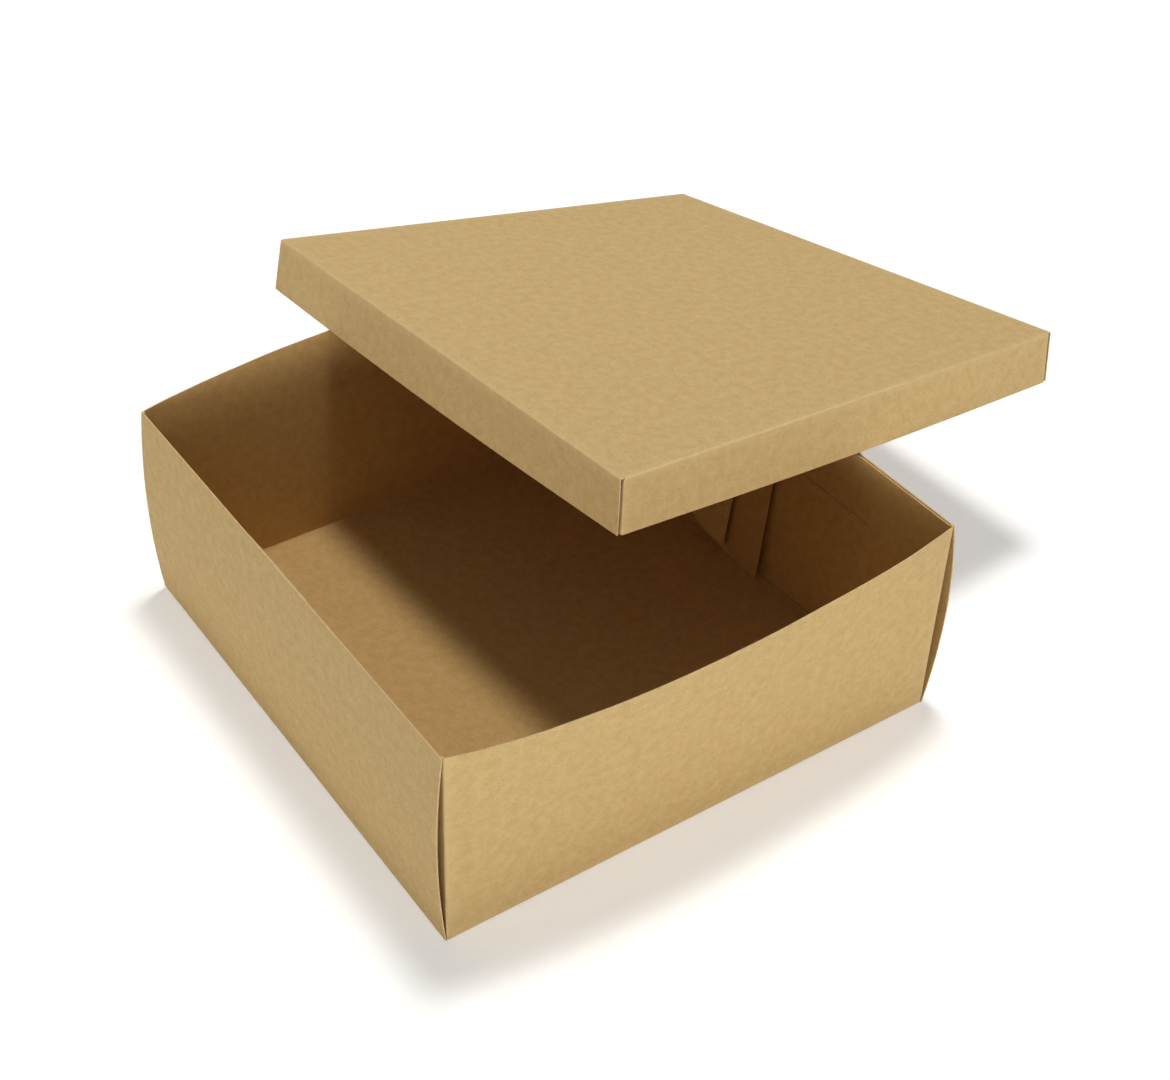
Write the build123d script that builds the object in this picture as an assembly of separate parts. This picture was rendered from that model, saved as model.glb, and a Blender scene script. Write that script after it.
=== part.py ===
from build123d import *
import os
from math import asin, cos, degrees, pi, radians, sin

os.makedirs("parts", exist_ok=True)

# Cake box of folded paperboard: an open tray and a shallow lid that rests
# ajar on it.  Millimetres, +Z up.  Origin: centre of the tray's underside.
# X runs along the front wall, Y from the front wall to the back wall.

# ---- board ----
BOARD = 0.6
LAYER_GAP = 0.3
FOLD_R = 0.8

# ---- tray ----
TRAY_W = 254.0
TRAY_D = 258.0
TRAY_H = 103.0
LEFT_BULGE = 3.2
RIGHT_BULGE = 5.2
BOW_GROWTH = 1.25
# outward bow of the front and back rims: (fraction of the length, mm)
FRONT_BOW = ((0.0, 0.0), (0.08, 5.2), (0.2, 9.9), (0.38, 12.9), (0.52, 12.7),
             (0.68, 10.4), (0.84, 6.9), (0.94, 3.0), (1.0, 0.0))
BACK_BOW = ((0.0, 0.0), (0.08, 4.5), (0.2, 9.4), (0.35, 13.4), (0.5, 14.7),
            (0.65, 13.4), (0.8, 9.4), (0.92, 4.5), (1.0, 0.0))

# ---- corner flaps of the tray ----
FLAP_FOOT = 1.0
FLAP_TOP = 1.2
FRONT_FLAP_END = -12.0
FRONT_FLAP_OFF = (7.0, 0.2)
SLOT_FROM = -82.0
SLOT_TO = -28.0
SLOT_Z = 72.0
SLOT_H = 0.9
BACK_FLAP_END = -18.0
BACK_FLAP_OFF = (9.0, 1.4)
TONGUE_FROM = 8.0
TONGUE_TO = 44.0
TONGUE_SLANT = 6.0
TONGUE_R = 13.0
TONGUE_AIR = 1.2
TONGUE_DROP = 7.0

# ---- lid ----
LID_W = 262.0
LID_D = 266.0
LID_SKIRT = 25.5
LID_TWIST = 6.9
LID_FLARE = 1.0
LID_BOW = 2.3
LID_FLAP = 46.0
LID_FLAP_DROP = 4.4
LID_SLIT = 1.2
LID_YAW = 2.54
LID_PITCH = 8.98
LID_ROLL = -6.95
# centre of the lid's panel, from the tray's far right corner at the rim
LID_FROM_CORNER = (-11.1, -59.6, 10.73)

LEVELS = 5


def bow_at(table, s):
    """Smooth value of a bow table at the fraction s of the length."""
    for k in range(len(table) - 1):
        s0, b0 = table[k]
        s1, b1 = table[k + 1]
        if s <= s1:
            before = table[k - 1] if k > 0 else (-s1, -b1)
            after = table[k + 2] if k + 2 < len(table) else (2.0 - s0, -b0)
            m0 = (b1 - before[1]) / (s1 - before[0]) * (s1 - s0)
            m1 = (after[1] - b0) / (after[0] - s0) * (s1 - s0)
            u = (s - s0) / (s1 - s0)
            h00 = 2 * u**3 - 3 * u**2 + 1
            h10 = u**3 - 2 * u**2 + u
            h01 = 3 * u**2 - 2 * u**3
            h11 = u**3 - u**2
            return h00 * b0 + h10 * m0 + h01 * b1 + h11 * m1
    return 0.0


def strip_section(half, front, z, bow, bow_scale, end, off_out):
    """Plan outline, at height z, of a wall with the two flaps at its ends.

    half: outer half length; front: y of the outer face at the folds;
    end: y of the free flap ends; off_out: how far the ends stand inward.
    """
    t = BOARD
    r = FOLD_R
    q = 1 - sin(pi / 4)
    xs = [-half + r + (2 * half - 2 * r) * i / 12 for i in range(13)]
    outer = []
    inner = []
    for x in xs:
        s = (x + half) / (2 * half)
        b = bow_at(bow, s) * bow_scale
        slope = (bow_at(bow, min(1, s + 0.01)) - bow_at(bow, max(0, s - 0.01))) * bow_scale
        slope = slope / (0.02 * 2 * half)
        n = (1 + slope * slope) ** 0.5
        outer.append((x, front - b, z))
        inner.append((x + t * slope / n, front - b + t / n, z))
    def flap_x(y, side, inset):
        lean = off_out * (y - front) / (end - front)
        return side * (half - lean - inset)
    edges = []
    edges.append(Line((flap_x(end, -1, 0), end, z), (flap_x(front + r, -1, 0), front + r, z)))
    edges.append(ThreePointArc((flap_x(front + r, -1, 0), front + r, z),
                               (-half + q * r, front + q * r, z), outer[0]))
    edges.append(Spline(*outer))
    edges.append(ThreePointArc(outer[-1], (half - q * r, front + q * r, z),
                               (flap_x(front + r, 1, 0), front + r, z)))
    edges.append(Line((flap_x(front + r, 1, 0), front + r, z), (flap_x(end, 1, 0), end, z)))
    edges.append(Line((flap_x(end, 1, 0), end, z), (flap_x(end, 1, t), end, z)))
    edges.append(Line((flap_x(end, 1, t), end, z), (flap_x(front + r, 1, t), front + r, z)))
    ri = r - t
    edges.append(ThreePointArc((flap_x(front + r, 1, t), front + r, z),
                               (half - t - q * ri, front + t + q * ri, z), inner[-1]))
    edges.append(Spline(*reversed(inner)))
    edges.append(ThreePointArc(inner[0], (-half + t + q * ri, front + t + q * ri, z),
                               (flap_x(front + r, -1, t), front + r, z)))
    edges.append(Line((flap_x(front + r, -1, t), front + r, z), (flap_x(end, -1, t), end, z)))
    edges.append(Line((flap_x(end, -1, t), end, z), (flap_x(end, -1, 0), end, z)))
    return Wire(edges)


def wall_with_flaps(half, front, height, bow, end, off):
    """A front-facing wall lofted from its foot to its rim, flaps included."""
    rings = []
    for k in range(LEVELS):
        u = k / (LEVELS - 1)
        lean = off[0] + (off[1] - off[0]) * u
        rings.append(strip_section(half, front, height * u, bow, u**BOW_GROWTH, end, lean))
    return Solid.make_loft(rings)


def flap_trim(half, front, end, height, off):
    """Blocks that shorten both flaps at the foot and at the rim."""
    width = max(off) + 6 * BOARD
    across = half - max(off) / 2
    length = end - front - 2 * FOLD_R + 1
    mid = (end + 1 + front + 2 * FOLD_R) / 2
    cut = None
    for side in (-1, 1):
        foot = Pos(side * across, mid, FLAP_FOOT / 2 - 1) * Box(width, length, FLAP_FOOT + 2)
        top = Pos(side * across, mid, height - FLAP_TOP / 2 + 1) * Box(width, length, FLAP_TOP + 2)
        cut = foot + top if cut is None else cut + foot + top
    return cut


def fold_rounding(length):
    """Bar that rounds a sharp fold along X; the sheet lies on +Y and +Z of it."""
    r = FOLD_R
    bar = Pos(0, (r - 1) / 2, (r - 1) / 2) * Box(length, r + 1, r + 1)
    return bar - Pos(0, r, r) * Rot(0, 90, 0) * Cylinder(r, length)


def tray_channel():
    """Floor with the bulged left and right walls, one constant section."""
    w = TRAY_W / 2
    t = BOARD
    h = TRAY_H
    m = h / 2
    outline = [
        ThreePointArc((-w, 0), (-w - LEFT_BULGE, m), (-w, h)),
        Line((-w, h), (-w + t, h)),
        ThreePointArc((-w + t, h), (-w + t - LEFT_BULGE, m), (-w + t, t)),
        Line((-w + t, t), (w - t, t)),
        ThreePointArc((w - t, t), (w - t + RIGHT_BULGE, m), (w - t, h)),
        Line((w - t, h), (w, h)),
        ThreePointArc((w, h), (w + RIGHT_BULGE, m), (w, 0)),
        Line((w, 0), (-w, 0)),
    ]
    face = make_face(outline)
    feet = [v for v in face.vertices() if v.Y < 0.01]
    seats = [v for v in face.vertices() if abs(v.Y - t) < 0.01]
    face = fillet(feet, FOLD_R)
    face = fillet([v for v in face.vertices() if abs(v.Y - t) < 0.01 and abs(v.X) > w - 2], FOLD_R - t)
    channel = extrude(Plane.XZ * face, TRAY_D / 2, both=True)
    return channel


def tongue():
    """Tongue folded down over the right-hand back flap, free at its foot."""
    half = TRAY_W / 2 - BOARD - LAYER_GAP
    back = TRAY_D / 2
    y0 = TONGUE_FROM - TONGUE_SLANT
    y1 = TONGUE_TO
    top = TRAY_H - TONGUE_DROP
    def face_x(y, z, inset):
        u = z / TRAY_H
        off = BACK_FLAP_OFF[0] + (BACK_FLAP_OFF[1] - BACK_FLAP_OFF[0]) * u
        return half - off * (back - y) / (back - BACK_FLAP_END) - BOARD - inset
    rings = []
    for z in (FLAP_FOOT, top):
        a = TONGUE_AIR
        b = TONGUE_AIR + BOARD
        pts = [(face_x(y0, z, a), y0, z), (face_x(y1, z, a), y1, z),
               (face_x(y1, z, b), y1, z), (face_x(y0, z, b), y0, z)]
        rings.append(Wire.make_polygon([Vector(*p) for p in pts], close=True))
    plate = Solid.make_loft(rings, ruled=True)
    shape = Polygon((TONGUE_FROM + TONGUE_SLANT, FLAP_FOOT), (y1, FLAP_FOOT), (y1, top),
                    (y0, top), (y0, 0.55 * top), align=None)
    corner = [v for v in shape.vertices() if abs(v.X - y1) < 0.01 and v.Y < 10]
    shape = fillet(corner, TONGUE_R)
    cutter = extrude(Plane.YZ * shape, half)
    plate = plate & cutter
    bridge_x = (face_x(y1, top, -BOARD) + face_x(y0, top, TONGUE_AIR + BOARD)) / 2
    bridge = Pos(bridge_x, (y0 + y1) / 2, top - BOARD / 2) * Box(
        2 * BOARD + TONGUE_AIR, y1 - y0, BOARD)
    return plate + bridge


def tray():
    """The folded tray: channel, front and back walls, flaps and tongues."""
    half = TRAY_W / 2 - BOARD - LAYER_GAP
    back = TRAY_D / 2
    front_wall = wall_with_flaps(half, -back, TRAY_H, FRONT_BOW, FRONT_FLAP_END, FRONT_FLAP_OFF)
    front_wall = front_wall - flap_trim(half, -back, FRONT_FLAP_END, TRAY_H, FRONT_FLAP_OFF)
    slot_mid = (SLOT_FROM + SLOT_TO) / 2
    for side in (-1, 1):
        front_wall = front_wall - Pos(side * (half - FRONT_FLAP_OFF[0] / 2), slot_mid, SLOT_Z) * Box(
            FRONT_FLAP_OFF[0] + 6 * BOARD, SLOT_TO - SLOT_FROM, SLOT_H)
    turned_end = -BACK_FLAP_END
    back_wall = wall_with_flaps(half, -back, TRAY_H, BACK_BOW, turned_end, BACK_FLAP_OFF)
    back_wall = back_wall - flap_trim(half, -back, turned_end, TRAY_H, BACK_FLAP_OFF)
    notch_w = TONGUE_TO - TONGUE_FROM + TONGUE_SLANT
    notch_y = -(TONGUE_TO + TONGUE_FROM - TONGUE_SLANT) / 2
    for side in (-1, 1):
        back_wall = back_wall - Pos(side * (half - BACK_FLAP_OFF[1] / 2), notch_y, TRAY_H) * Box(
            2 * BACK_FLAP_OFF[1] + 6 * BOARD, notch_w, 2 * TONGUE_DROP)
    back_wall = mirror(back_wall, Plane.XZ)
    right_tongue = tongue()
    left_tongue = mirror(right_tongue, Plane.YZ)
    body = tray_channel() + front_wall + back_wall + right_tongue + left_tongue
    front_fold = Pos(0, -back, 0) * fold_rounding(TRAY_W)
    return body - front_fold - mirror(front_fold, Plane.XZ)


def lid_ring(v):
    """Section of the lid across its width at the fraction v of its depth."""
    w = LID_W / 2
    t = BOARD
    r = FOLD_R
    q = 1 - sin(pi / 4)
    flare = LID_FLARE + LID_BOW * sin(pi * v)
    turn = -asin(LID_TWIST / w) * (1 - 2 * v)
    y = (LID_D - BOARD) * (v - 0.5)
    def at(x, z):
        return (x * cos(turn) + z * sin(turn), y, -x * sin(turn) + z * cos(turn))
    rim = -LID_SKIRT
    ri = r - t
    edges = [
        Line(at(-w - flare, rim), at(-w, -r)),
        ThreePointArc(at(-w, -r), at(-w + q * r, -q * r), at(-w + r, 0)),
        Line(at(-w + r, 0), at(w - r, 0)),
        ThreePointArc(at(w - r, 0), at(w - q * r, -q * r), at(w, -r)),
        Line(at(w, -r), at(w + flare, rim)),
        Line(at(w + flare, rim), at(w + flare - t, rim)),
        Line(at(w + flare - t, rim), at(w - t, -r)),
        ThreePointArc(at(w - t, -r), at(w - t - q * ri, -t - q * ri), at(w - r, -t)),
        Line(at(w - r, -t), at(-w + r, -t)),
        ThreePointArc(at(-w + r, -t), at(-w + t + q * ri, -t - q * ri), at(-w + t, -r)),
        Line(at(-w + t, -r), at(-w - flare + t, rim)),
        Line(at(-w - flare + t, rim), at(-w - flare, rim)),
    ]
    return Wire(edges)


def lid_skirt(side):
    """Front (-1) or back (+1) skirt with the flaps at its two ends."""
    half = LID_W / 2 - BOARD - LID_SLIT
    front = -LID_D / 2
    bow = ((0.0, 0.0), (0.15, 0.45), (0.3, 0.81), (0.5, 1.0), (0.7, 0.81), (0.85, 0.45), (1.0, 0.0))
    rings = []
    for k in range(3):
        u = k / 2
        z = -LID_SKIRT + (LID_SKIRT - BOARD / 2) * u
        out = (1 - u) * LID_FLARE
        rings.append(strip_section(half, front - out, z, bow, (1 - u) * LID_BOW,
                                   front + LID_FLAP, 0.6))
    skirt = Solid.make_loft(rings)
    for end in (-1, 1):
        skirt = skirt - Pos(end * half, front + LID_FLAP / 2 + 2 * FOLD_R, 0) * Box(
            8 * BOARD, LID_FLAP + FOLD_R, 2 * LID_FLAP_DROP)
    if side > 0:
        skirt = mirror(skirt, Plane.XZ)
    turn = degrees(asin(LID_TWIST / (LID_W / 2)))
    return Rot(0, side * turn, 0) * skirt


def lid():
    """The folded lid, slightly twisted, laid ajar on the tray."""
    shell = Solid.make_loft([lid_ring(k / (LEVELS - 1)) for k in range(LEVELS)])
    body = shell + lid_skirt(-1) + lid_skirt(1)
    turn = degrees(asin(LID_TWIST / (LID_W / 2)))
    for side in (-1, 1):
        fold = Pos(0, -LID_D / 2, 0) * Rot(180, 0, 0) * mirror(fold_rounding(LID_W), Plane.XZ)
        if side > 0:
            fold = mirror(fold, Plane.XZ)
        body = body - Rot(0, side * turn, 0) * fold
    corner = (TRAY_W / 2, TRAY_D / 2, TRAY_H)
    centre = [c + d for c, d in zip(corner, LID_FROM_CORNER)]
    seat = Pos(*centre) * Rot(0, 0, LID_YAW) * Rot(0, LID_PITCH, 0) * Rot(LID_ROLL, 0, 0)
    return seat * body


def report(name, shape):
    box = shape.bounding_box()
    print(name, "solids", len(shape.solids()), "valid", shape.is_valid,
          "volume", round(shape.volume, 1), "faces", len(shape.faces()),
          "x", round(box.min.X, 1), round(box.max.X, 1),
          "y", round(box.min.Y, 1), round(box.max.Y, 1),
          "z", round(box.min.Z, 1), round(box.max.Z, 1))


tray_solid = tray()
report("base_tray", tray_solid)
lid_solid = lid()
report("lid", lid_solid)
print("gap", round(tray_solid.distance_to(lid_solid), 3))
export_step(tray_solid, "parts/base_tray.step")
export_step(lid_solid, "parts/lid.step")
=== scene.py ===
# %% [markdown]
# # A kraft cake box with its lid laid ajar
#
# The box is two sheets of brown kraft paperboard, die-cut flat, creased and
# folded.  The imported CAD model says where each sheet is.  This lesson makes
# the same two sheets again, fine enough to look at: rounded creases, the
# thickness of the board, pale cut edges, and the fibres in its face.

# %% The frame
from math import asin, cos, exp, pi, radians, sin

import bmesh
import bpy
from mathutils import Matrix, Vector


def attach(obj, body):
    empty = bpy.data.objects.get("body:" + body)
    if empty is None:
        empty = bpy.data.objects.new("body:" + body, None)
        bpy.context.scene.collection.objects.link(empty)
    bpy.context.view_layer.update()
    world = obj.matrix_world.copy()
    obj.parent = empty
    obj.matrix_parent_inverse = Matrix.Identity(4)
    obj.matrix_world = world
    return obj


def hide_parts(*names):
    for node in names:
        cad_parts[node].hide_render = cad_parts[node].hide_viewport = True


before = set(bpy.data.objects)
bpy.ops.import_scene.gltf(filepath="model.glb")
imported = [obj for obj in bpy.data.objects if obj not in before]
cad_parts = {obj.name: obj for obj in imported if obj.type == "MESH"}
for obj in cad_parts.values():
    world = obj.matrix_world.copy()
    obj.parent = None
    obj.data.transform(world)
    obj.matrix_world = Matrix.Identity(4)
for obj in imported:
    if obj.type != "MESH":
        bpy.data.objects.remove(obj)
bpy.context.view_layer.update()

MM = 0.001

# %% [markdown]
# ## One helper for every node
#
# Materials and Geometry Nodes are both trees of nodes.  One small function
# adds a node, sets its options and joins its inputs, so that the cells below
# read as a recipe.  An input is given as a number, a colour or the output of
# an earlier node.

# %% Adding a node
def add(tree, kind, inputs=None, **settings):
    """Adds a node; inputs maps a socket's name or number to a value or output."""
    made = tree.nodes.new(kind)
    for name, value in settings.items():
        setattr(made, name, value)
    for socket, value in (inputs or {}).items():
        if isinstance(value, bpy.types.NodeSocket):
            tree.links.new(value, made.inputs[socket])
        else:
            made.inputs[socket].default_value = value
    return made


def colour(code):
    """Turns an sRGB hex colour into the linear values that shaders use."""
    parts = [int(code[i:i + 2], 16) / 255 for i in (1, 3, 5)]
    linear = [c / 12.92 if c <= 0.04045 else ((c + 0.055) / 1.055) ** 2.4 for c in parts]
    return (*linear, 1.0)


print("mid kraft in linear light", [round(c, 3) for c in colour("#cfb07c")])

# %% [markdown]
# ## The camera
#
# The photograph looks down on one corner of the box from about 39 degrees.
# The place, the tilt and the lens were worked out from the box's corners, so
# that the model falls on the same pixels.

# %% Camera
lens_camera = bpy.data.cameras.new("camera")
lens_camera.sensor_fit = "HORIZONTAL"
lens_camera.sensor_width = 36.0
lens_camera.lens = 60.48
camera = bpy.data.objects.new("camera", lens_camera)
camera.location = (-0.38253, -0.56672, 0.61942)
camera.rotation_euler = (radians(50.838), radians(-1.679), radians(-34.502))
bpy.context.collection.objects.link(camera)
bpy.context.scene.camera = camera
bpy.context.scene.view_settings.view_transform = "Standard"
print("camera", tuple(round(v, 3) for v in camera.location), "lens", lens_camera.lens)

# %% [markdown]
# ## Sizes of the two sheets
#
# Both sheets are folded the same way: a panel, two plain side walls, and a
# front and a back wall whose ends turn the corner as flaps.  The flaps lie
# inside the side walls.  So one set of named sizes describes either sheet.
# Lengths are in metres:
#
# - *Flap tuck*: how far a flap's outer face lies inside the side wall's: the
#   board's thickness and some air.
# - *Bulge*: how far a side wall springs out at mid height.
# - *Flare*, *side bow*: how far the lid's skirts spread at their edge, all
#   along and in the middle.
# - *Bow*: how far an end wall's rim springs out.  *Bow growth* is the power
#   by which it grows from the foot to the rim.
# - *Lean*: how far a flap's free end stands off the side wall.
# - *Tongue start*, *swing*: the height of the tongue's fold, and how far the
#   tongue hangs off the flap for each metre down.
# - *Direction*: 1 folds the walls up, -1 folds them down.
# - *Cockle*: the depth of the waviness that board takes up from damp air.

# %% Sizes
BOARD = 0.6 * MM
CREASE = 0.8 * MM

TRAY = {
    "Width": 254 * MM, "Depth": 258 * MM, "Height": 103 * MM,
    "Crease radius": CREASE, "Flap tuck": 0.7 * MM,
    "Left bulge": 3.2 * MM, "Right bulge": 5.2 * MM,
    "Flare": 0.0, "Side bow": 0.0,
    "Front bow": 15 * MM, "Back bow": 15 * MM, "Bow growth": 1.25,
    "Front flap": 115.7 * MM, "Front lean foot": 5.0 * MM, "Front lean rim": 0.2 * MM,
    "Back flap": 148.2 * MM, "Back lean foot": 10.3 * MM, "Back lean rim": 1.4 * MM,
    "Tongue start": 94.8 * MM, "Tongue radius": 1.2 * MM, "Tongue swing": 0.018,
    "Direction": 1.0, "Twist": 0.0, "Cockle": 0.6 * MM, "Side inset": 0.0,
}
LID = {
    "Width": 262 * MM, "Depth": 266 * MM, "Height": 25.5 * MM,
    "Crease radius": CREASE, "Flap tuck": 1.8 * MM,
    "Left bulge": 0.0, "Right bulge": 0.0,
    "Flare": 1.0 * MM, "Side bow": 2.3 * MM,
    "Front bow": 2.3 * MM, "Back bow": 2.3 * MM, "Bow growth": 1.0,
    "Front flap": 44.7 * MM, "Front lean foot": 0.6 * MM, "Front lean rim": 0.6 * MM,
    "Back flap": 44.7 * MM, "Back lean foot": 0.6 * MM, "Back lean rim": 0.6 * MM,
    "Tongue start": 1.0, "Tongue radius": 1.2 * MM, "Tongue swing": 0.0,
    # twisted corners stand 6.9 mm off a flat panel, 131 mm from its middle line
    "Direction": -1.0, "Twist": asin(6.9 / 131), "Cockle": 0.9 * MM, "Side inset": 0.7 * MM,
}
print("tray", len(TRAY), "sizes; lid", len(LID), "sizes")

# %% [markdown]
# ## The flat blanks
#
# A real box starts as a flat blank, and so does this one.  The blank is a
# fine grid that is cut where the die cuts: slits beside the flaps, a long
# slot in the tray's front flaps, and a tongue on its back flaps.  Each point
# keeps its flat place as a UV map, so the fibres run across the sheet in one
# direction and turn with it at every fold, as in real board.

# %% Grid lines
def run(start, *legs):
    """Numbers from start on, in legs of (end, steps)."""
    line = [start]
    for end, steps in legs:
        line += [line[-1] + (end - line[-1]) * k / steps for k in range(1, steps + 1)]
    return line


def both_ways(line):
    """A line from 0 outwards, and its mirror image before it."""
    return [-v for v in reversed(line) if v > 1e-9] + line


def crease_lines(size):
    """The flat distances from the middle at which the folds of a sheet start."""
    side = size["Width"] / 2 - size["Crease radius"]
    end = size["Depth"] / 2 - size["Crease radius"]
    corner = size["Width"] / 2 - size["Flap tuck"] - size["Crease radius"]
    return side, end, corner, size["Crease radius"] * pi / 2


print("tray folds at", [round(v / MM, 1) for v in crease_lines(TRAY)], "mm")

# %% Laying a grid
SAME_PLACE = 1e-7  # metres: points closer than this are one


def lay(cut, kind, us, vs, keep):
    """Adds the squares of a grid for which keep is true.  cut holds the mesh so far."""
    for u0, u1 in zip(us, us[1:]):
        for v0, v1 in zip(vs, vs[1:]):
            if not keep((u0 + u1) / 2, (v0 + v1) / 2):
                continue
            around = ((u0, v0), (u1, v0), (u1, v1), (u0, v1))
            square = [corner_of(cut, kind, u, v) for u, v in around]
            cut["mesh"].faces.new(square if cut["size"]["Direction"] < 0 else square[::-1])


def corner_of(cut, kind, u, v):
    """The point at a flat place.  The front and back walls share the panel's edge."""
    _, end, corner, _ = crease_lines(cut["size"])
    if kind == "wall" and abs(abs(v) - end) < SAME_PLACE and abs(u) < corner + SAME_PLACE:
        kind = "panel"
    key = (kind, round(u * 1e7), round(v * 1e7))
    if key not in cut["points"]:
        cut["points"][key] = cut["mesh"].verts.new((u, v, 0))
        cut["kinds"].append(kind)
    return cut["points"][key]


print("a grid square becomes a face only where the die leaves board")

# %% Panel, side walls, end walls
PANEL_STEPS, CREASE_STEPS = 32, 5
WALL_STEP, WALL_STEPS_LEAST = 4.2 * MM, 6


def start_blank(size):
    """A new blank, with the panel and its two side walls."""
    cut = {"size": size, "mesh": bmesh.new(), "points": {}, "kinds": []}
    side, end, corner, bend = crease_lines(size)
    rise = size["Height"] - size["Crease radius"]
    up = max(WALL_STEPS_LEAST, round(rise / WALL_STEP))
    across = run(0, (corner, PANEL_STEPS), (side, 1), (side + bend, CREASE_STEPS),
                 (side + bend + rise, up))
    along = both_ways(run(0, (end, PANEL_STEPS), (size["Depth"] / 2 - size["Side inset"], 1)))
    lay(cut, "panel", both_ways(across), along,
        lambda u, v: abs(u) > side or abs(v) < end)
    return cut


def end_wall(cut, toward, flap_stops, rise_stops, flap_foot, left_top, right_top, holes=()):
    """One end wall with its flaps, which stand between flap_foot and their own tops."""
    _, end, corner, bend = crease_lines(cut["size"])
    r = cut["size"]["Crease radius"]
    across = run(0, (corner, PANEL_STEPS), (corner + bend, CREASE_STEPS),
                 *[(corner + bend + q, n) for q, n in flap_stops])
    up = run(end, (end + bend, CREASE_STEPS), *[(end + bend + h - r, n) for h, n in rise_stops])

    def keep(u, v):
        out = abs(u) - corner - bend
        height = abs(v) - end - bend + r
        if abs(u) < corner:
            return True
        top = left_top if u < 0 else right_top
        if height < r or (out > r and not flap_foot < height < top):
            return False
        return not any(q0 < out < q1 and h0 < height < h1 for q0, q1, h0, h1 in holes)

    line = up if toward > 0 else [-v for v in reversed(up)]
    lay(cut, "wall", both_ways(across), line, keep)


print("board, flat:", TRAY["Width"] + 2 * TRAY["Height"], "m wide for the tray")

# %% [markdown]
# ### The tongues
#
# Behind the lid the photograph shows a tongue hanging inside the back flap.
# It is part of the flap, turned over its top edge and hanging down a little
# clear of it, with one rounded corner.  Near and far are the distances of its
# two edges from the corner of the box; foot is its end's height over the
# floor.  Its grid has curved columns, so that its outline is smooth.

# %% Tongue
TONGUE = {"near": 95 * MM, "far": 125.7 * MM, "slant": 1 * MM, "round": 11 * MM,
          "foot": 6.5 * MM}


def tongue(cut, columns=10):
    """Adds the tongue of both back flaps, from the flap's grid points at its fold."""
    size = cut["size"]
    _, end, corner, bend = crease_lines(size)
    turn = pi * size["Tongue radius"]
    drop = size["Tongue start"] - TONGUE["foot"]
    start = end + bend + size["Tongue start"] - size["Crease radius"]
    half_way, round_from = turn + drop * 0.5, turn + drop - TONGUE["round"]
    rows = run(0, (turn, 8), (half_way, 8), (round_from, 8), (turn + drop, 9))
    for way in (-1, 1):
        lines = []
        for t in rows:
            low = max(0.0, t - round_from) / TONGUE["round"]
            inner = TONGUE["near"] + TONGUE["round"] * (1 - max(0.0, 1 - low * low) ** 0.5)
            outer = TONGUE["far"] - TONGUE["slant"] * max(0.0, t - turn - drop * 0.5) / (drop * 0.5)
            line = []
            for k in range(columns + 1):
                q = inner + (outer - inner) * k / columns
                kind = "wall" if t == 0 else "tongue"
                line.append(corner_of(cut, kind, way * (corner + bend + q), start + t))
            lines.append(line)
        for low_line, high_line in zip(lines, lines[1:]):
            for k in range(columns):
                square = [low_line[k], low_line[k + 1], high_line[k + 1], high_line[k]]
                cut["mesh"].faces.new(square[::-1] if way > 0 else square)


print("tongue", round((TONGUE["far"] - TONGUE["near"]) / MM), "mm wide")

# %% [markdown]
# ### Both sheets on the die
#
# The left flaps' tops stay lower than the right ones', because the
# photograph shows nothing over the left wall's rim.  The back flaps' own
# squares leave a gap over the tongue's fold, because there the sheet goes on
# as the tongue.  The lid's flaps start a little off the panel, to clear its
# fold.

# %% Cutting both blanks
LEFT_TOP, RIGHT_TOP = 98.6 * MM, 102.4 * MM
SLOT_NEAR, SLOT_FAR, SLOT_LOW, SLOT_HIGH = 45.7 * MM, 99.7 * MM, 71.75 * MM, 72.25 * MM
LID_FLAP_FOOT, PAST_LID_EDGE = 4.4 * MM, 26 * MM

tray_cut = start_blank(TRAY)
slot = (SLOT_NEAR, SLOT_FAR, SLOT_LOW, SLOT_HIGH)
end_wall(tray_cut, -1, [(CREASE, 1), (SLOT_NEAR, 10), (SLOT_FAR, 12), (TRAY["Front flap"], 4)],
         [(SLOT_LOW, 17), (SLOT_HIGH, 1), (LEFT_TOP, 6), (RIGHT_TOP, 1), (TRAY["Height"], 1)],
         0, LEFT_TOP, RIGHT_TOP, holes=[slot])
fold_gap = (TONGUE["near"], TONGUE["far"], TRAY["Tongue start"], RIGHT_TOP)
end_wall(tray_cut, 1,
         [(CREASE, 1), (TONGUE["near"], 20), (TONGUE["far"], 10), (TRAY["Back flap"], 5)],
         [(TRAY["Tongue start"], 22), (LEFT_TOP, 1), (RIGHT_TOP, 1), (TRAY["Height"], 1)],
         0, LEFT_TOP, RIGHT_TOP, holes=[fold_gap])
tongue(tray_cut)

lid_cut = start_blank(LID)
for toward, flap in ((-1, LID["Front flap"]), (1, LID["Back flap"])):
    end_wall(lid_cut, toward, [(CREASE, 1), (flap, 10)],
             [(LID_FLAP_FOOT, 1), (LID["Height"], 6)], LID_FLAP_FOOT, PAST_LID_EDGE, PAST_LID_EDGE)
print("tray blank", len(tray_cut["mesh"].faces), "squares; lid blank", len(lid_cut["mesh"].faces))

# %% [markdown]
# ### What each point of the blank knows
#
# The folding rule has to know whether a point is on a wall strip or on a
# tongue.  The finish wants to know how near a crease is, because the paper
# there is paler: partly worn, stretched fibres, partly a painted highlight.
# The middle of each face may also wave a little.
# Each of these is a number kept on the point, a named attribute.

# %% Attributes and UV map
CREASE_FADE = 1.5 * MM
SLACK_FROM_EDGE = 28 * MM  # a face waves fully from this far off its creases and edges


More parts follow.
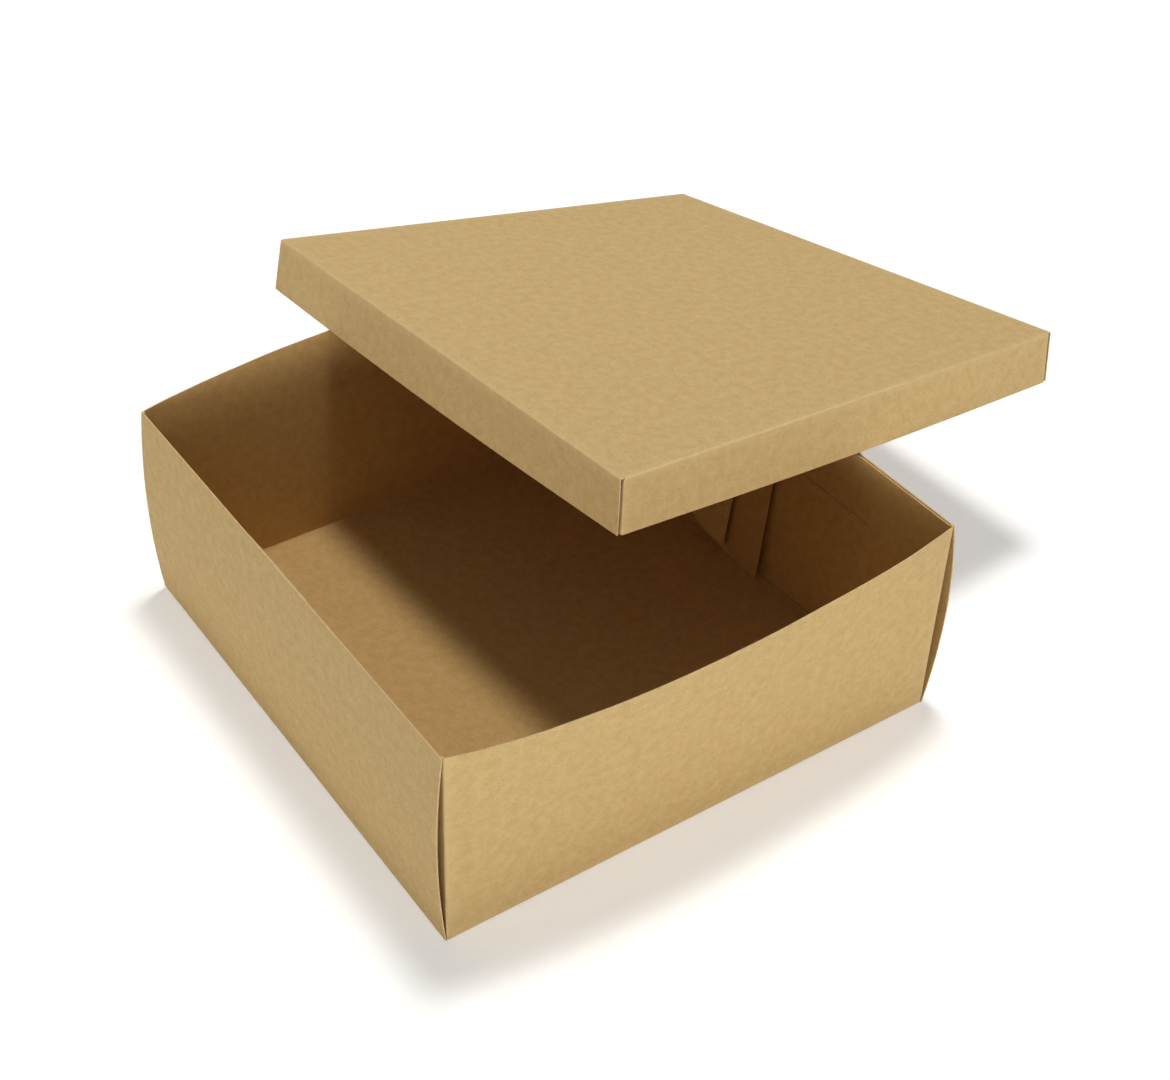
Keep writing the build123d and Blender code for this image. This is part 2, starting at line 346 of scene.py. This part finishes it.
def crease_share(cut, kind, u, v):
    """1 on a crease, falling off within about CREASE_FADE of it."""
    side, end, corner, bend = crease_lines(cut["size"])
    lines = [(abs(v) - end, bend)] if abs(u) < corner + bend else []
    lines.append((abs(u) - (corner if kind == "wall" else side), bend))
    if kind == "tongue":
        start = end + bend + cut["size"]["Tongue start"] - cut["size"]["Crease radius"]
        lines = [(abs(v) - start, pi * cut["size"]["Tongue radius"])]
    away = min(max(-d, d - wide, 0.0) for d, wide in lines)
    return exp(-(away / CREASE_FADE) ** 2)


def slack_share(cut, kind, u, v):
    """1 in the middle of a face, 0 at its creases and edges."""
    side, end, corner, _ = crease_lines(cut["size"])
    rim = cut["size"]["Height"]
    depth = cut["size"]["Depth"] / 2
    if kind == "panel" and abs(u) <= side:
        gaps = (side - abs(u), end - abs(v))
    elif kind == "panel":
        gaps = (abs(u) - side, side + rim - abs(u), depth - abs(v))
    elif abs(u) <= corner:
        gaps = (abs(v) - end, end + rim - abs(v), corner - abs(u))
    else:
        return 0.0
    share = min(1.0, max(0.0, min(gaps)) / SLACK_FROM_EDGE)
    return share * share * (3 - 2 * share)


def finish_blank(cut, name):
    """Turns the grid into a mesh object with its attributes and its flat UV map."""
    cut["mesh"].verts.index_update()
    sheet = bpy.data.meshes.new(name)
    cut["mesh"].to_mesh(sheet)
    flat = [vertex.co.copy() for vertex in sheet.vertices]
    values = {
        "wall": [0.0 if kind == "panel" else 1.0 for kind in cut["kinds"]],
        "tongue": [1.0 if kind == "tongue" else 0.0 for kind in cut["kinds"]],
        "crease": [crease_share(cut, k, p.x, p.y) for k, p in zip(cut["kinds"], flat)],
        "slack": [slack_share(cut, k, p.x, p.y) for k, p in zip(cut["kinds"], flat)],
    }
    for attribute, numbers in values.items():
        sheet.attributes.new(attribute, "FLOAT", "POINT").data.foreach_set("value", numbers)
    layer = sheet.uv_layers.new(name="blank")
    for loop in sheet.loops:
        layer.data[loop.index].uv = flat[loop.vertex_index].xy
    made = bpy.data.objects.new(name, sheet)
    bpy.context.collection.objects.link(made)
    return made


tray_sheet = finish_blank(tray_cut, "tray_sheet")
lid_sheet = finish_blank(lid_cut, "lid_sheet")
print("points", len(tray_sheet.data.vertices), "and", len(lid_sheet.data.vertices))

# %% [markdown]
# ## Kraft paperboard
#
# Kraft board is unbleached wood pulp, pressed and dried with its fibres
# mostly in one direction.  It is matt and slightly woolly.  Up close the eye
# sees three things: soft clouds about 5 mm across where the pulp is thicker,
# fibres 1 to 2 mm long, and a few dark slivers of bark.  Fibres are only
# about 0.03 mm wide, too fine to show here, so they are drawn 0.5 mm wide.
# The face is smooth from the rollers, the inside is a darker, rougher brown,
# and a cut edge is pale and open.  Along a crease the face is paler: partly
# worn, stretched fibres, and partly a painted highlight where the rounded fold
# catches the light.

# %% A recipe for the board's faces
CLOUD, CLOUD_SHARE = 5 * MM, 0.8
FIBRE_LONG, FIBRE_WIDE = 1.6 * MM, 0.5 * MM
SLIVER_LONG, SLIVER_WIDE = 1.6 * MM, 0.6 * MM
TONE_FROM, TONE_TO = 0.65, 1.15
SLIVER_FROM, SLIVER_TO, SLIVER_SHARE = 0.70, 0.78, 0.55
WEAR_AND_HIGHLIGHT_SHARE = 0.35
ROUGH_SPREAD = 0.05


def kraft(name, light, dark, sliver, crease, roughness, relief):
    """A kraft board material: two close tones, slivers, paler creases and a fibre relief."""
    made = bpy.data.materials.new(name)
    made.use_nodes = True
    tree = made.node_tree
    tree.nodes.clear()
    flat = add(tree, "ShaderNodeUVMap", uv_map="blank").outputs[0]
    grain = add(tree, "ShaderNodeVectorMath", {0: flat, 1: (1 / FIBRE_LONG, 1 / FIBRE_WIDE, 1)},
                operation="MULTIPLY").outputs[0]
    fibres = add(tree, "ShaderNodeTexNoise", {"Vector": grain, "Scale": 1.0, "Detail": 3.0,
                                              "Roughness": 0.6, "Distortion": 0.6},
                 noise_dimensions="2D").outputs[0]
    clouds = add(tree, "ShaderNodeTexNoise", {"Vector": flat, "Scale": 1 / CLOUD, "Detail": 3.0,
                                              "Roughness": 0.55}, noise_dimensions="2D").outputs[0]
    both = add(tree, "ShaderNodeMath", {0: clouds, 1: CLOUD_SHARE, 2: fibres},
               operation="MULTIPLY_ADD").outputs[0]
    tone = add(tree, "ShaderNodeMapRange", {"Value": both, "From Min": TONE_FROM,
                                            "From Max": TONE_TO}).outputs[0]
    pulp = add(tree, "ShaderNodeMix", {0: tone, 6: colour(dark), 7: colour(light)},
               data_type="RGBA").outputs[2]
    bark_place = add(tree, "ShaderNodeVectorMath", {0: flat, 1: (1 / SLIVER_LONG, 1 / SLIVER_WIDE, 1)},
                     operation="MULTIPLY").outputs[0]
    bark = add(tree, "ShaderNodeTexNoise", {"Vector": bark_place, "Scale": 1.0, "Detail": 1.0,
                                            "Distortion": 0.4}, noise_dimensions="2D").outputs[0]
    bark_share = add(tree, "ShaderNodeMapRange", {"Value": bark, "From Min": SLIVER_FROM,
                                                  "From Max": SLIVER_TO,
                                                  "To Max": SLIVER_SHARE}).outputs[0]
    face = add(tree, "ShaderNodeMix", {0: bark_share, 6: pulp, 7: colour(sliver)},
               data_type="RGBA").outputs[2]
    # paler along the creases: partly worn, stretched fibres, partly a painted highlight on the rounded
    # folds
    crease_wear_and_highlight = add(tree, "ShaderNodeAttribute", attribute_name="crease").outputs["Fac"]
    wear_and_highlight_share = add(tree, "ShaderNodeMath", {0: crease_wear_and_highlight, 1: WEAR_AND_HIGHLIGHT_SHARE},
                     operation="MULTIPLY").outputs[0]
    finish = add(tree, "ShaderNodeMix", {0: wear_and_highlight_share, 6: face, 7: colour(crease)},
                 data_type="RGBA").outputs[2]
    bump = add(tree, "ShaderNodeBump", {"Height": both, "Strength": 0.5, "Distance": relief}).outputs[0]
    rough = add(tree, "ShaderNodeMapRange", {"Value": fibres, "To Min": roughness - ROUGH_SPREAD,
                                             "To Max": roughness + ROUGH_SPREAD}).outputs[0]
    board = add(tree, "ShaderNodeBsdfPrincipled", {"Base Color": finish, "Roughness": rough,
                                                   "Normal": bump, "IOR": 1.45})
    out = add(tree, "ShaderNodeOutputMaterial")
    tree.links.new(board.outputs[0], out.inputs[0])
    return made


# smooth from the rollers, and the lighter of the two faces; its creases are
# paler, partly from wear and partly as a painted highlight
outer_face = kraft("kraft_board_outer_face", light="#ddbe83", dark="#d0ad70", sliver="#a9854d",
                   crease="#e1c68f", roughness=0.78, relief=0.05 * MM)
# rougher and browner, and no paler along its creases
inner_face = kraft("kraft_board_inner_face", light="#cba76a", dark="#c0995e", sliver="#9a7238",
                   crease="#cba76a", roughness=0.86, relief=0.07 * MM)
# open fibres that catch the light as a pale line along every rim
cut_edge = kraft("kraft_board_cut_edge", light="#e8cb98", dark="#d8b984", sliver="#b08d58",
                 crease="#e8cb98", roughness=0.92, relief=0.08 * MM)
print("board materials", outer_face.name, inner_face.name, cut_edge.name)

# %% [markdown]
# ## Folding by rule
#
# A fold can be worked out.  Up to the crease a point stays where it is; over
# the crease it runs round a quarter circle; past it, it goes straight on.
# The bowed rims are the same kind of rule: a curve along the wall, growing
# from nothing at the foot to its full size at the rim.  Geometry Nodes do
# this sum for every point at once, and the same tree folds both sheets.
# Each row below is one Math node: its result, its operation and its inputs.
# 1.5707963 is a quarter turn and 3.1415927 is half a turn.

# %% The folding sums
FOLD = """
# the panel and its side walls
side        SUBTRACT    Width/2         Crease_radius
side_over_  SUBTRACT    u_size          side
side_over   MAXIMUM     side_over_      0
quarter     MULTIPLY    Crease_radius   1.5707963
side_turn_  DIVIDE      side_over       Crease_radius
side_turn   MINIMUM     side_turn_      1.5707963
side_past_  SUBTRACT    side_over       quarter
side_past   MAXIMUM     side_past_      0
side_cos    COSINE      side_turn
side_dip    MULTIPLY    Crease_radius   side_cos
side_lift   SUBTRACT    Crease_radius   side_dip
side_z      ADD         side_lift       side_past
side_h      DIVIDE      side_z          Height
side_h1     SUBTRACT    1               side_h
side_hh     MULTIPLY    side_h          side_h1
side_hh4    MULTIPLY    side_hh         4
side_swell  MULTIPLY    side_hh4        Bulge
side_rise   SUBTRACT    Height          Crease_radius
side_part   DIVIDE      side_past       side_rise
v_turns     DIVIDE      v               Depth
v_angle_    ADD         v_turns         0.5
v_angle     MULTIPLY    v_angle_        3.1415927
v_sine      SINE        v_angle
side_arch   MULTIPLY    v_sine          Side_bow
side_open   ADD         side_arch       Flare
side_spread MULTIPLY    side_open       side_part
side_sin    SINE        side_turn
side_run    MULTIPLY    Crease_radius   side_sin
side_flat   MINIMUM     u_size          side
side_x1     ADD         side_flat       side_run
side_x2     ADD         side_x1         side_swell
side_x3     ADD         side_x2         side_spread
side_x      MULTIPLY    side_x3         u_sign
side_end_   DIVIDE      v               Depth/2
side_end    MULTIPLY    side_end_       Flare
side_slide  MULTIPLY    side_end        side_part
side_y      ADD         v               side_slide
# the end walls rise from the panel
end         SUBTRACT    Depth/2         Crease_radius
end_over_   SUBTRACT    v_size          end
end_over    MAXIMUM     end_over_       0
end_turn_   DIVIDE      end_over        Crease_radius
end_turn    MINIMUM     end_turn_       1.5707963
end_past_   SUBTRACT    end_over        quarter
end_past    MAXIMUM     end_past_       0
end_cos     COSINE      end_turn
end_dip     MULTIPLY    Crease_radius   end_cos
end_lift    SUBTRACT    Crease_radius   end_dip
# a tongue goes up to its fold, over it and down again
top_past    SUBTRACT    Tongue_start    Crease_radius
over_top_   SUBTRACT    end_past        top_past
over_top    MAXIMUM     over_top_       0
hang        MULTIPLY    over_top        tongue
kept_past   SUBTRACT    end_past        hang
hang_turn_  DIVIDE      hang            Tongue_radius
hang_turn   MINIMUM     hang_turn_      3.1415927
half_turn   MULTIPLY    Tongue_radius   3.1415927
hang_past_  SUBTRACT    hang            half_turn
hang_past   MAXIMUM     hang_past_      0
hang_sin    SINE        hang_turn
hang_up     MULTIPLY    hang_sin        Tongue_radius
end_z1      ADD         end_lift        kept_past
end_z2      ADD         end_z1          hang_up
end_z       SUBTRACT    end_z2          hang_past
end_h       DIVIDE      end_z           Height
end_grow    POWER       end_h           Bow_growth
end_bow_    MULTIPLY    Bow             bow_curve
end_bow     MULTIPLY    end_bow_        end_grow
end_part    DIVIDE      end_past        side_rise
end_flare   MULTIPLY    Flare           end_part
# the flaps turn the corner and lean inwards
half        SUBTRACT    Width/2         Flap_tuck
corner      SUBTRACT    half            Crease_radius
flap_over_  SUBTRACT    u_size          corner
flap_over   MAXIMUM     flap_over_      0
flap_turn_  DIVIDE      flap_over       Crease_radius
flap_turn   MINIMUM     flap_turn_      1.5707963
flap_past_  SUBTRACT    flap_over       quarter
flap_past   MAXIMUM     flap_past_      0
flap_cos    COSINE      flap_turn
flap_dip    MULTIPLY    Crease_radius   flap_cos
flap_in_    SUBTRACT    Crease_radius   flap_dip
flap_in     ADD         flap_in_        flap_past
lean_more   SUBTRACT    Lean_rim        Lean_foot
lean_here_  MULTIPLY    lean_more       end_h
lean_here   ADD         lean_here_      Lean_foot
flap_share  DIVIDE      flap_past       Flap
lean_grow   POWER       flap_share      0.6
lean        MULTIPLY    lean_here       lean_grow
hang_cos    COSINE      hang_turn
hang_dip    MULTIPLY    hang_cos        Tongue_radius
hang_in     SUBTRACT    Tongue_radius   hang_dip
flap_sin    SINE        flap_turn
flap_run    MULTIPLY    Crease_radius   flap_sin
wall_flat   MINIMUM     u_size          corner
wall_x1     ADD         wall_flat       flap_run
wall_x2     SUBTRACT    wall_x1         lean
hang_swing  MULTIPLY    hang_past       Tongue_swing
hang_off    ADD         hang_in         hang_swing
wall_x3     SUBTRACT    wall_x2         hang_off
wall_end_   DIVIDE      wall_flat       Width/2
wall_slide  MULTIPLY    wall_end_       end_flare
wall_x4     ADD         wall_x3         wall_slide
wall_x      MULTIPLY    wall_x4         u_sign
end_sin     SINE        end_turn
end_run     MULTIPLY    Crease_radius   end_sin
end_flat    MINIMUM     v_size          end
wall_y1     ADD         end_flat        end_run
wall_y2     ADD         wall_y1         end_bow
wall_y3     ADD         wall_y2         end_flare
wall_y4     SUBTRACT    wall_y3         flap_in
wall_y      MULTIPLY    wall_y4         v_sign
"""
fold_rows = [line.split() for line in FOLD.splitlines() if line and not line.startswith("#")]
print(len(fold_rows), "sums fold one point")

# %% [markdown]
# The rims' bows are drawn as curves, because a real wall does not spring out
# evenly: the front one leans to the left of its middle.  After folding, the
# lid is also twisted a little about its long axis, and both sheets get the
# faint waviness, or cockle, that board takes up from damp air.

# %% Building the folding tree
INPUTS = [name for name in TRAY if name != "Side inset"]
FRONT_CURVE = ((0, 0), (0.08, 0.347), (0.2, 0.66), (0.38, 0.86), (0.52, 0.847), (0.68, 0.693),
               (0.84, 0.46), (0.94, 0.2), (1, 0))
BACK_CURVE = ((0, 0), (0.08, 0.3), (0.2, 0.627), (0.35, 0.893), (0.5, 0.98), (0.65, 0.893),
              (0.8, 0.627), (0.92, 0.3), (1, 0))
LID_CURVE = ((0, 0), (0.15, 0.45), (0.3, 0.81), (0.5, 1), (0.7, 0.81), (0.85, 0.45), (1, 0))


def draw_curve(node, points):
    """Sets the points of a Float Curve node."""
    line = node.mapping.curves[0]
    for place, value in points[1:-1]:
        line.points.new(place, value)
    line.points[0].location = points[0]
    line.points[-1].location = points[-1]
    node.mapping.update()


def folding_tree(name, front_curve, back_curve):
    """A Geometry Nodes tree that folds a flat blank by the sums in FOLD."""
    tree = bpy.data.node_groups.new(name, "GeometryNodeTree")
    tree.interface.new_socket("Blank", in_out="INPUT", socket_type="NodeSocketGeometry")
    for label in INPUTS:
        tree.interface.new_socket(label, in_out="INPUT", socket_type="NodeSocketFloat")
    tree.interface.new_socket("Board", in_out="INPUT", socket_type="NodeSocketMaterial")
    tree.interface.new_socket("Seed", in_out="INPUT", socket_type="NodeSocketFloat")
    tree.interface.new_socket("Sheet", in_out="OUTPUT", socket_type="NodeSocketGeometry")
    given = add(tree, "NodeGroupInput").outputs
    place = add(tree, "GeometryNodeInputPosition").outputs[0]
    flat = add(tree, "ShaderNodeSeparateXYZ", {0: place}).outputs
    known = {label.replace(" ", "_"): given[label] for label in INPUTS}
    known.update({"u": flat[0], "v": flat[1]})
    for label in ("tongue", "wall", "slack"):
        known[label] = add(tree, "GeometryNodeInputNamedAttribute", {0: label},
                           data_type="FLOAT").outputs[0]
    for label, operation, first, second in (
            ("u_size", "ABSOLUTE", "u", 0), ("v_size", "ABSOLUTE", "v", 0),
            ("u_sign", "SIGN", "u", 0), ("v_sign", "SIGN", "v", 0),
            ("Width/2", "MULTIPLY", "Width", 0.5), ("Depth/2", "MULTIPLY", "Depth", 0.5),
            ("along_", "DIVIDE", "u", "Width"), ("along", "ADD", "along_", 0.5),
            ("to_right", "GREATER_THAN", "u", 0), ("to_back", "GREATER_THAN", "v", 0)):
        known[label] = add(tree, "ShaderNodeMath", {0: known[first], 1: known.get(second, second)},
                           operation=operation, label=label).outputs[0]
    curves = []
    for points in (front_curve, back_curve):
        node = add(tree, "ShaderNodeFloatCurve", {"Value": known["along"]})
        draw_curve(node, points)
        curves.append(node.outputs[0])
    for label, chooser, low, high in (
            ("Bulge", "to_right", known["Left_bulge"], known["Right_bulge"]),
            ("Bow", "to_back", known["Front_bow"], known["Back_bow"]),
            ("bow_curve", "to_back", curves[0], curves[1]),
            ("Flap", "to_back", known["Front_flap"], known["Back_flap"]),
            ("Lean_foot", "to_back", known["Front_lean_foot"], known["Back_lean_foot"]),
            ("Lean_rim", "to_back", known["Front_lean_rim"], known["Back_lean_rim"])):
        known[label] = add(tree, "ShaderNodeMix", {0: known[chooser], 2: low, 3: high},
                           label=label).outputs[0]
    for label, operation, *terms in fold_rows:
        inputs = {i: known[t] if t in known else float(t) for i, t in enumerate(terms)}
        known[label] = add(tree, "ShaderNodeMath", inputs, operation=operation, label=label).outputs[0]
    return tree, given, known


print(len(INPUTS), "sizes and", len(fold_rows), "sums in one tree")

# %% Closing the tree
COCKLE_SCALE = 11.0  # waves to the metre
COCKLE_FROM, COCKLE_TO = 0.3, 0.7  # the part of the noise that is used


def close_tree(tree, given, known):
    """Puts the points in place, twists and cockles the sheet, and gives it its material."""
    x, y, z = [add(tree, "ShaderNodeMix", {0: known["wall"], 2: known[a], 3: known[b]}).outputs[0]
               for a, b in (("side_x", "wall_x"), ("side_y", "wall_y"), ("side_z", "end_z"))]
    height = add(tree, "ShaderNodeMath", {0: z, 1: known["Direction"]},
                 operation="MULTIPLY").outputs[0]
    folded = add(tree, "ShaderNodeCombineXYZ", {0: x, 1: y, 2: height}).outputs[0]
    share = add(tree, "ShaderNodeMapRange", {"Value": known["v"], "From Min": -LID["Depth"] / 2,
                                             "From Max": LID["Depth"] / 2,
                                             "To Min": -1.0, "To Max": 1.0}).outputs[0]
    angle = add(tree, "ShaderNodeMath", {0: share, 1: known["Twist"]},
                operation="MULTIPLY").outputs[0]
    twisted = add(tree, "ShaderNodeVectorRotate", {"Vector": folded, "Angle": angle},
                  rotation_type="Y_AXIS").outputs[0]
    placed = add(tree, "GeometryNodeSetPosition", {"Geometry": given["Blank"],
                                                   "Position": twisted}).outputs[0]
    normal = add(tree, "GeometryNodeInputNormal").outputs[0]
    wave = add(tree, "ShaderNodeTexNoise", {"W": given["Seed"], "Scale": COCKLE_SCALE, "Detail": 1.0},
               noise_dimensions="4D").outputs[0]
    # from -1 to 0, so the board waves inwards only and keeps inside the CAD's faces
    lift = add(tree, "ShaderNodeMapRange", {"Value": wave, "From Min": COCKLE_FROM,
                                            "From Max": COCKLE_TO,
                                            "To Min": -1.0, "To Max": 0.0}).outputs[0]
    lift = add(tree, "ShaderNodeMath", {0: lift, 1: known["Cockle"]}, operation="MULTIPLY").outputs[0]
    lift = add(tree, "ShaderNodeMath", {0: lift, 1: known["slack"]}, operation="MULTIPLY").outputs[0]
    shift = add(tree, "ShaderNodeVectorMath", {0: normal, "Scale": lift}, operation="SCALE").outputs[0]
    waved = add(tree, "GeometryNodeSetPosition", {"Geometry": placed, "Offset": shift}).outputs[0]
    smooth = add(tree, "GeometryNodeSetShadeSmooth", {"Geometry": waved}).outputs[0]
    whole = add(tree, "GeometryNodeRealizeInstances", {"Geometry": smooth}).outputs[0]
    faced = add(tree, "GeometryNodeSetMaterial", {"Geometry": whole,
                                                  "Material": given["Board"]}).outputs[0]
    add(tree, "NodeGroupOutput", {0: faced})


tray_tree = folding_tree("fold_tray", FRONT_CURVE, BACK_CURVE)
close_tree(*tray_tree)
lid_tree = folding_tree("fold_lid", LID_CURVE, LID_CURVE)
close_tree(*lid_tree)
print("tree nodes", len(tray_tree[0].nodes))

# %% [markdown]
# ## From a folded surface to board with a thickness
#
# The folded surface is the outer face of the board.  Its result is taken as
# a plain mesh, then Solidify gives it 0.6 mm on the inner side, with other
# materials for the inner face and for the cut edges.

# %% Fold, bake, thicken
TRAY_SEED, LID_SEED = 3.0, 8.0  # each sheet's own place in the cockle's noise
SHARP_FROM = 35  # degrees between two faces


def bake(piece):
    """Turns what the modifiers make into the piece's own plain mesh."""
    bpy.context.view_layer.update()
    seen = piece.evaluated_get(bpy.context.evaluated_depsgraph_get())
    plain = bpy.data.meshes.new_from_object(seen)
    piece.modifiers.clear()
    piece.data = plain


def fold(piece, tree, size, seed):
    """Folds a blank with the tree and the sizes, then gives the board its thickness."""
    folding = piece.modifiers.new("fold", "NODES")
    folding.node_group = tree
    values = dict(size, Board=outer_face, Seed=seed)
    for socket in tree.interface.items_tree:
        if socket.in_out == "INPUT" and socket.name in values:
            folding[socket.identifier] = values[socket.name]
    bake(piece)
    for material in (inner_face, cut_edge):
        piece.data.materials.append(material)
    thick = piece.modifiers.new("board", "SOLIDIFY")
    thick.thickness = BOARD
    thick.offset = -1.0
    thick.use_even_offset = True
    thick.material_offset = 1
    thick.material_offset_rim = 2
    bake(piece)


def crisp(piece):
    """Smooth shading, but with sharp cut edges."""
    grid = bmesh.new()
    grid.from_mesh(piece.data)
    for face in grid.faces:
        face.smooth = True
    for edge in grid.edges:
        edge.smooth = len(edge.link_faces) == 2 and edge.calc_face_angle() < radians(SHARP_FROM)
    grid.to_mesh(piece.data)
    grid.free()


fold(tray_sheet, tray_tree[0], TRAY, TRAY_SEED)
crisp(tray_sheet)
fold(lid_sheet, lid_tree[0], LID, LID_SEED)
crisp(lid_sheet)
print("tray faces", len(tray_sheet.data.polygons), "lid faces", len(lid_sheet.data.polygons))

# %% [markdown]
# ## Laying the lid ajar
#
# The lid rests on the tray's back rim and right rim, turned a little and
# tilted down to the back.  Its place goes into its mesh, so the object itself
# stays at the origin.

# %% Seating the lid
LID_SEAT = Vector((115.9, 69.4, 113.73)) * MM
LID_YAW, LID_PITCH, LID_ROLL = 2.54, 8.98, -6.95
seat = (Matrix.Translation(LID_SEAT) @ Matrix.Rotation(radians(LID_YAW), 4, "Z")
        @ Matrix.Rotation(radians(LID_PITCH), 4, "Y") @ Matrix.Rotation(radians(LID_ROLL), 4, "X"))
lid_sheet.data.transform(seat)
for piece, body, node, slot_name in ((tray_sheet, "tray", "base_tray", "tray_board"),
                                     (lid_sheet, "lid", "lid", "lid_board")):
    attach(piece, body)
    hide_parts(node)
    low, high = [tuple(round(c, 4) for c in piece.bound_box[k]) for k in (0, 6)]

# %% [markdown]
# ## Floor and light
#
# The box stands on a white sweep.  A low glow round the front of the room
# lights the walls, a dim sky fills the shade, and one softbox overhead, a
# little to the right, draws the lid's shadow inside the tray.

# %% What the eye sees of the room
def seen_rays(tree):
    """1 for the rays by which the eye, metal and glass see the room, 0 for those that light it."""
    path = add(tree, "ShaderNodeLightPath").outputs
    seen = add(tree, "ShaderNodeMath", {0: path["Is Camera Ray"], 1: path["Is Glossy Ray"]},
               operation="MAXIMUM").outputs[0]
    return add(tree, "ShaderNodeMath", {0: seen, 1: path["Is Transmission Ray"]},
               operation="MAXIMUM").outputs[0]


print("what shows of the room is set apart from what lights the box")

# %% [markdown]
# The sweep is matt white paper.  Its glow is seen but lights no board: it is
# weak near the box, so that the box's soft shadow stays, and strong further
# off, where the sweep runs into pure white.

# %% Floor
FLOOR_SIZE, FLOOR_DROP = 12, 0.2 * MM
GLOW_NEAR, GLOW_FAR = (0.5, 0.42), (1.6, 1.0)  # distance in metres, strength
bpy.ops.mesh.primitive_plane_add(size=FLOOR_SIZE, location=(0, 0, -FLOOR_DROP))
floor = bpy.context.object
floor.name = "floor"
white = bpy.data.materials.new("matt_white_sweep")
white.use_nodes = True
tree = white.node_tree
tree.nodes.clear()
paper = add(tree, "ShaderNodeBsdfDiffuse", {"Color": colour("#fafaf8")}).outputs[0]
spot = add(tree, "ShaderNodeNewGeometry").outputs["Position"]
far = add(tree, "ShaderNodeVectorMath", {0: spot}, operation="LENGTH").outputs["Value"]
fill = add(tree, "ShaderNodeMapRange", {"Value": far, "From Min": GLOW_NEAR[0],
                                        "From Max": GLOW_FAR[0], "To Min": GLOW_NEAR[1],
                                        "To Max": GLOW_FAR[1]},
           interpolation_type="SMOOTHSTEP").outputs[0]
glow = add(tree, "ShaderNodeEmission", {"Color": (1, 1, 1, 1), "Strength": fill}).outputs[0]
shown = add(tree, "ShaderNodeAddShader", {0: paper, 1: glow}).outputs[0]
mixed = add(tree, "ShaderNodeMixShader", {0: seen_rays(tree), 1: paper, 2: shown}).outputs[0]
add(tree, "ShaderNodeOutputMaterial", {0: mixed})
floor.data.materials.append(white)
print("floor", floor.name)

# %% World
SKY = 0.19
BAND_FROM, BAND_TO = 0.05, 0.11  # the heights, on a sphere of 1, at which a band fades out
BANDS = {
    # degrees from straight ahead, degrees to each side, strength
    "front_left": (-45, 75, 9.0),
    "front": (0, 75, 6.6),
}
world = bpy.data.worlds.new("white_room")
bpy.context.scene.world = world
world.use_nodes = True
tree = world.node_tree
tree.nodes.clear()
way = add(tree, "ShaderNodeTexCoord").outputs["Generated"]
height = add(tree, "ShaderNodeSeparateXYZ", {0: way}).outputs[2]
low = add(tree, "ShaderNodeMapRange", {"Value": height, "From Min": BAND_FROM,
                                       "From Max": BAND_TO, "To Min": 1.0, "To Max": 0.0},
          interpolation_type="SMOOTHSTEP").outputs[0]
room = SKY
for name, (turn, spread, strength) in BANDS.items():
    axis = (sin(radians(turn)), -cos(radians(turn)), 0)
    toward = add(tree, "ShaderNodeVectorMath", {0: way, 1: axis},
                 operation="DOT_PRODUCT").outputs["Value"]
    glow = add(tree, "ShaderNodeMapRange", {"Value": toward, "From Min": cos(radians(spread)),
                                            "From Max": 1.0, "To Min": 0.0, "To Max": strength},
               interpolation_type="SMOOTHSTEP", label=name).outputs[0]
    glow = add(tree, "ShaderNodeMath", {0: glow, 1: low}, operation="MULTIPLY").outputs[0]
    room = add(tree, "ShaderNodeMath", {0: glow, 1: room}, operation="ADD").outputs[0]
lit = add(tree, "ShaderNodeBackground", {"Strength": room}).outputs[0]
plain = add(tree, "ShaderNodeBackground", {"Color": (1, 1, 1, 1), "Strength": 1.0}).outputs[0]
mixed = add(tree, "ShaderNodeMixShader", {0: seen_rays(tree), 1: lit, 2: plain}).outputs[0]
add(tree, "ShaderNodeOutputWorld", {0: mixed})
print("world", world.name, "with", len(BANDS), "bands of light")

# %% Softbox
SOFTBOX_W, SOFTBOX_SIDE = 21.4, 0.36
SOFTBOX_PLACE, SOFTBOX_AIM = (0.27, 0.25, 2.0), (0, 0.05, 0)
softbox = bpy.data.lights.new("overhead_softbox", "AREA")
softbox.shape = "SQUARE"
softbox.size = SOFTBOX_SIDE
softbox.energy = SOFTBOX_W
lamp = bpy.data.objects.new("overhead_softbox", softbox)
lamp.location = SOFTBOX_PLACE
aim = Vector(SOFTBOX_AIM) - Vector(lamp.location)
lamp.rotation_euler = aim.to_track_quat("-Z", "Y").to_euler()
bpy.context.collection.objects.link(lamp)
print("softbox", softbox.energy, "W")
